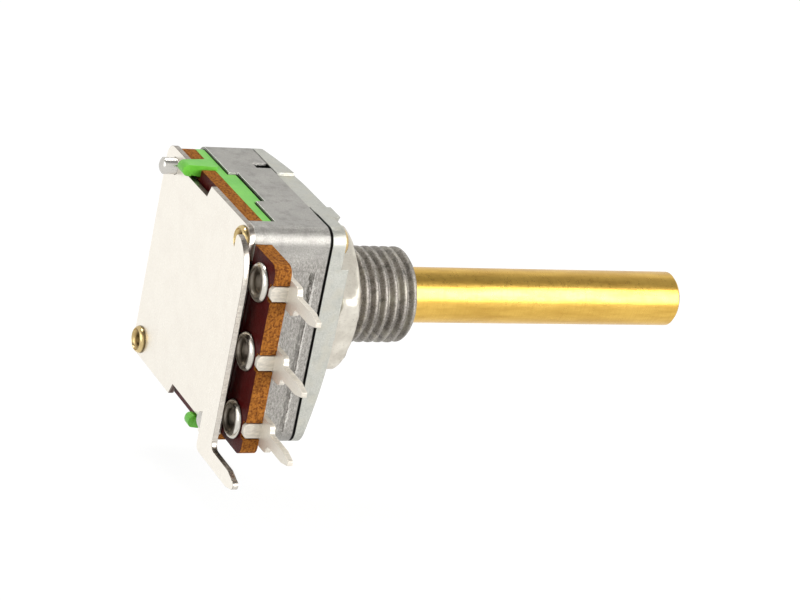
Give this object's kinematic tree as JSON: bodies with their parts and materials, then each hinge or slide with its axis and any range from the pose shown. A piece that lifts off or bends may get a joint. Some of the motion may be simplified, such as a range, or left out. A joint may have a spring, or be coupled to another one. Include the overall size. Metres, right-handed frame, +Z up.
{
  "type": "rotary potentiometer",
  "caption": "Rotary potentiometer with a square metal case, threaded bushing and nut, long plain round shaft, side solder terminals and a soldering leg.",
  "frame": {"origin": "on the shaft axis at the front mounting face", "axes": "+X out of the front along the shaft, +Z up, terminals towards -Y"},
  "size_m": [0.0397, 0.0246, 0.0163],
  "materials": {
    "flange_zinc": "satin die-cast zinc, pale grey",
    "body_zinc": "satin die-cast zinc, mid grey",
    "green_plastic": "moulded thermoplastic, green, half gloss",
    "laminate": "phenolic paper laminate, red-brown, sheared edges",
    "carbon_ink": "carbon ink",
    "silver_ink": "silver ink",
    "terminal_plate": "tinned brass sheet",
    "eyelet_nickel": "nickel-plated brass, rolled",
    "plate_nickel": "nickel-plated steel sheet",
    "eyelet_brass": "bare brass, rolled",
    "pin_nickel": "polished nickel plate",
    "nut_nickel": "nickel-plated brass, turned",
    "washer_bronze": "bronze sheet",
    "shaft_brass": "drawn brass rod, bright",
    "clip_steel": "spring steel",
    "rotor_resin": "moulded phenolic",
    "spring_bronze": "phosphor bronze sheet"
  },
  "bodies": {
    "housing": {"front_flange": "flange_zinc", "body_casting": "body_zinc", "insulating_spacer": "green_plastic", "terminal_board": "laminate", "resistive_track": "carbon_ink", "collector_ring": "silver_ink", "terminal_upper": "terminal_plate", "terminal_middle": "terminal_plate", "terminal_lower": "terminal_plate", "terminal_eyelet_upper": "eyelet_nickel", "terminal_eyelet_middle": "eyelet_nickel", "terminal_eyelet_lower": "eyelet_nickel", "rear_plate": "plate_nickel", "corner_eyelet_upper": "eyelet_brass", "corner_eyelet_lower": "eyelet_brass", "corner_pin_upper": "pin_nickel", "corner_pin_lower": "pin_nickel", "mounting_nut": "nut_nickel", "thrust_washer": "washer_bronze"},
    "spindle": {"shaft": "shaft_brass", "retaining_clip": "clip_steel", "rotor": "rotor_resin", "contact_spring": "spring_bronze"}
  },
  "joints": [
    {"name": "shaft_turn", "type": "hinge", "parent": "housing", "child": "spindle", "pos_m": [0, 0, 0], "axis": [1, 0, 0], "range_deg": [-150, 150]}
  ]
}
